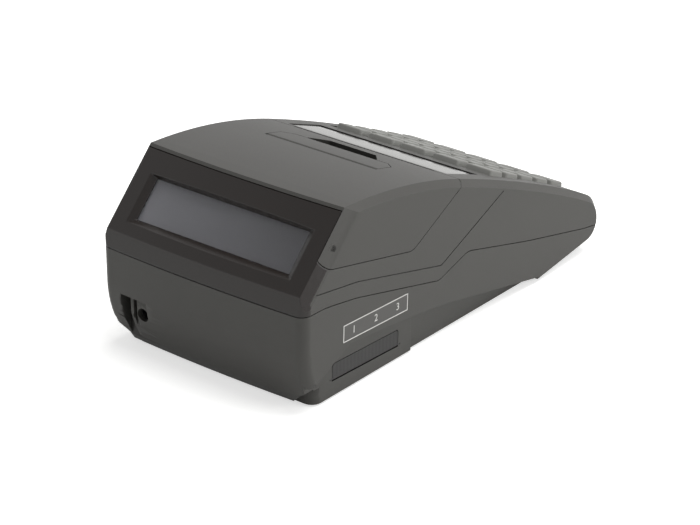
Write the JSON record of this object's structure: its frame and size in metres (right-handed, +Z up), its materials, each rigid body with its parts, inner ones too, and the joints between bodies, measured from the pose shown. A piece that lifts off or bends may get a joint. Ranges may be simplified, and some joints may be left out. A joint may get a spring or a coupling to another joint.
{
  "type": "ticket register",
  "caption": "Portable ticket register with a sloped customer display, hinged paper cover over a roll and printer, and a 25-key operator pad",
  "frame": {"origin": "on the table under the middle of the housing", "axes": "X across, +Y to the customer display, -Y to the operator, +Z up"},
  "size_m": [0.116, 0.223, 0.0876],
  "materials": {
    "grey_abs": "fine moulded texture",
    "port_plastic": "ribbed moulded",
    "gloss_bezel": "polished moulded",
    "display_glass": "clear grey window",
    "lcd_module": "display module",
    "steel": "turned",
    "platen_rubber": "ground rubber",
    "gear_acetal": "moulded acetal",
    "brass": "turned brass",
    "zinc_steel": "zinc plated sheet",
    "head_aluminium": "extruded aluminium",
    "paper": "thermal paper",
    "cardboard": "spiral wound card",
    "keypad_rubber": "silicone mat",
    "key_plastic": "moulded key cap",
    "circuit_board": "solder mask",
    "battery_wrap": "shrink film",
    "jack_black": "moulded socket",
    "label_film": "printed film, bare",
    "foot_rubber": "moulded foot"
  },
  "bodies": {
    "root": {"base_shell": "grey_abs", "upper_shell": "grey_abs", "customer_bezel": "gloss_bezel", "customer_lens": "display_glass", "customer_lcd": "lcd_module", "operator_window": "gloss_bezel", "operator_lcd": "lcd_module", "cover_pins": "steel", "head_pin": "steel", "printer_frame": "zinc_steel", "head_spring": "steel", "stepper_motor": "zinc_steel", "tear_bar": "steel", "keypad_mat": "keypad_rubber", "keypad_board": "circuit_board", "main_board": "circuit_board", "battery_pack": "battery_wrap", "dc_jack": "jack_black", "port_sockets": "jack_black", "port_label": "label_film", "rubber_feet": "foot_rubber", "screws": "steel"},
    "cover": {"paper_cover": "grey_abs", "lever_pin": "steel"},
    "lever": {"cover_lever": "grey_abs"},
    "platen": {"platen_shaft": "steel", "platen_rubber": "platen_rubber", "platen_gear": "gear_acetal"},
    "roll": {"paper_roll": "paper", "paper_core": "cardboard"},
    "idler": {"idler_gear": "gear_acetal"},
    "motor": {"motor_gear": "brass"},
    "head": {"print_head": "head_aluminium"},
    "port_flap": {"port_cover": "port_plastic"},
    "door": {"battery_door": "grey_abs"},
    "key_11": {"key_r1c1": "key_plastic"},
    "key_12": {"key_r1c2": "key_plastic"},
    "key_13": {"key_r1c3": "key_plastic"},
    "key_14": {"key_r1c4": "key_plastic"},
    "key_15": {"key_r1c5": "key_plastic"},
    "key_21": {"key_r2c1": "key_plastic"},
    "key_22": {"key_r2c2": "key_plastic"},
    "key_23": {"key_r2c3": "key_plastic"},
    "key_24": {"key_r2c4": "key_plastic"},
    "key_25": {"key_r2c5": "key_plastic"},
    "key_31": {"key_r3c1": "key_plastic"},
    "key_32": {"key_r3c2": "key_plastic"},
    "key_33": {"key_r3c3": "key_plastic"},
    "key_34": {"key_r3c4": "key_plastic"},
    "key_35": {"key_r3c5": "key_plastic"},
    "key_41": {"key_r4c1": "key_plastic"},
    "key_42": {"key_r4c2": "key_plastic"},
    "key_43": {"key_r4c3": "key_plastic"},
    "key_44": {"key_r4c4": "key_plastic"},
    "key_45": {"key_r4c5": "key_plastic"},
    "key_51": {"key_r5c1": "key_plastic"},
    "key_52": {"key_r5c2": "key_plastic"},
    "key_53": {"key_r5c3": "key_plastic"},
    "key_54": {"key_r5c4": "key_plastic"},
    "key_55": {"key_r5c5": "key_plastic"}
  },
  "joints": [
    {"name": "cover_hinge", "type": "hinge", "parent": "root", "child": "cover", "pos_m": [0, 0.08881, 0.0728], "axis": [-1, 0, 0], "range_deg": [0, 95]},
    {"name": "lever_pivot", "type": "hinge", "parent": "cover", "child": "lever", "pos_m": [0, 0.02702, 0.079], "axis": [-1, 0, 0], "range_deg": [0, 35], "stiffness_Nm_per_rad": 0.05},
    {"name": "platen_spin", "type": "hinge", "parent": "cover", "child": "platen", "pos_m": [0, 0.00602, 0.0605], "axis": [1, 0, 0], "continuous": true},
    {"name": "roll_spin", "type": "hinge", "parent": "root", "child": "roll", "pos_m": [0, 0.04501, 0.051], "axis": [1, 0, 0], "continuous": true},
    {"name": "idler_spin", "type": "hinge", "parent": "root", "child": "idler", "pos_m": [0, -0.00417, 0.05032], "axis": [1, 0, 0], "continuous": true},
    {"name": "motor_spin", "type": "hinge", "parent": "root", "child": "motor", "pos_m": [0, -0.01529, 0.0478], "axis": [1, 0, 0], "continuous": true},
    {"name": "head_pivot", "type": "hinge", "parent": "root", "child": "head", "pos_m": [0, 0.00266, 0.05083], "axis": [1, 0, 0], "range_deg": [0, 3], "stiffness_Nm_per_rad": 0.5},
    {"name": "port_flap_hinge", "type": "hinge", "parent": "root", "child": "port_flap", "pos_m": [-0.0535, 0.06413, 0.00845], "axis": [0, -0.9994, -0.0349], "range_deg": [0, 90]},
    {"name": "door_slide", "type": "slide", "parent": "root", "child": "door", "axis": [0, -1, 0], "range_m": [0, 0.008]},
    {"name": "key_r1c1_press", "type": "slide", "parent": "root", "child": "key_11", "axis": [0, 0.408, -0.913], "range_m": [0, 0.0015], "stiffness_N_per_m": 200},
    {"name": "key_r1c2_press", "type": "slide", "parent": "root", "child": "key_12", "axis": [0, 0.408, -0.913], "range_m": [0, 0.0015], "stiffness_N_per_m": 200},
    {"name": "key_r1c3_press", "type": "slide", "parent": "root", "child": "key_13", "axis": [0, 0.408, -0.913], "range_m": [0, 0.0015], "stiffness_N_per_m": 200},
    {"name": "key_r1c4_press", "type": "slide", "parent": "root", "child": "key_14", "axis": [0, 0.408, -0.913], "range_m": [0, 0.0015], "stiffness_N_per_m": 200},
    {"name": "key_r1c5_press", "type": "slide", "parent": "root", "child": "key_15", "axis": [0, 0.408, -0.913], "range_m": [0, 0.0015], "stiffness_N_per_m": 200},
    {"name": "key_r2c1_press", "type": "slide", "parent": "root", "child": "key_21", "axis": [0, 0.408, -0.913], "range_m": [0, 0.0015], "stiffness_N_per_m": 200},
    {"name": "key_r2c2_press", "type": "slide", "parent": "root", "child": "key_22", "axis": [0, 0.408, -0.913], "range_m": [0, 0.0015], "stiffness_N_per_m": 200},
    {"name": "key_r2c3_press", "type": "slide", "parent": "root", "child": "key_23", "axis": [0, 0.408, -0.913], "range_m": [0, 0.0015], "stiffness_N_per_m": 200},
    {"name": "key_r2c4_press", "type": "slide", "parent": "root", "child": "key_24", "axis": [0, 0.408, -0.913], "range_m": [0, 0.0015], "stiffness_N_per_m": 200},
    {"name": "key_r2c5_press", "type": "slide", "parent": "root", "child": "key_25", "axis": [0, 0.408, -0.913], "range_m": [0, 0.0015], "stiffness_N_per_m": 200},
    {"name": "key_r3c1_press", "type": "slide", "parent": "root", "child": "key_31", "axis": [0, 0.408, -0.913], "range_m": [0, 0.0015], "stiffness_N_per_m": 200},
    {"name": "key_r3c2_press", "type": "slide", "parent": "root", "child": "key_32", "axis": [0, 0.408, -0.913], "range_m": [0, 0.0015], "stiffness_N_per_m": 200},
    {"name": "key_r3c3_press", "type": "slide", "parent": "root", "child": "key_33", "axis": [0, 0.408, -0.913], "range_m": [0, 0.0015], "stiffness_N_per_m": 200},
    {"name": "key_r3c4_press", "type": "slide", "parent": "root", "child": "key_34", "axis": [0, 0.408, -0.913], "range_m": [0, 0.0015], "stiffness_N_per_m": 200},
    {"name": "key_r3c5_press", "type": "slide", "parent": "root", "child": "key_35", "axis": [0, 0.408, -0.913], "range_m": [0, 0.0015], "stiffness_N_per_m": 200},
    {"name": "key_r4c1_press", "type": "slide", "parent": "root", "child": "key_41", "axis": [0, 0.408, -0.913], "range_m": [0, 0.0015], "stiffness_N_per_m": 200},
    {"name": "key_r4c2_press", "type": "slide", "parent": "root", "child": "key_42", "axis": [0, 0.408, -0.913], "range_m": [0, 0.0015], "stiffness_N_per_m": 200},
    {"name": "key_r4c3_press", "type": "slide", "parent": "root", "child": "key_43", "axis": [0, 0.408, -0.913], "range_m": [0, 0.0015], "stiffness_N_per_m": 200},
    {"name": "key_r4c4_press", "type": "slide", "parent": "root", "child": "key_44", "axis": [0, 0.408, -0.913], "range_m": [0, 0.0015], "stiffness_N_per_m": 200},
    {"name": "key_r4c5_press", "type": "slide", "parent": "root", "child": "key_45", "axis": [0, 0.408, -0.913], "range_m": [0, 0.0015], "stiffness_N_per_m": 200},
    {"name": "key_r5c1_press", "type": "slide", "parent": "root", "child": "key_51", "axis": [0, 0.408, -0.913], "range_m": [0, 0.0015], "stiffness_N_per_m": 200},
    {"name": "key_r5c2_press", "type": "slide", "parent": "root", "child": "key_52", "axis": [0, 0.408, -0.913], "range_m": [0, 0.0015], "stiffness_N_per_m": 200},
    {"name": "key_r5c3_press", "type": "slide", "parent": "root", "child": "key_53", "axis": [0, 0.408, -0.913], "range_m": [0, 0.0015], "stiffness_N_per_m": 200},
    {"name": "key_r5c4_press", "type": "slide", "parent": "root", "child": "key_54", "axis": [0, 0.408, -0.913], "range_m": [0, 0.0015], "stiffness_N_per_m": 200},
    {"name": "key_r5c5_press", "type": "slide", "parent": "root", "child": "key_55", "axis": [0, 0.408, -0.913], "range_m": [0, 0.0015], "stiffness_N_per_m": 200}
  ],
  "couplings": [
    {"joint": "motor_spin", "follows": "platen_spin", "ratio": 1.8333},
    {"joint": "idler_spin", "follows": "platen_spin", "ratio": -0.84615}
  ]
}
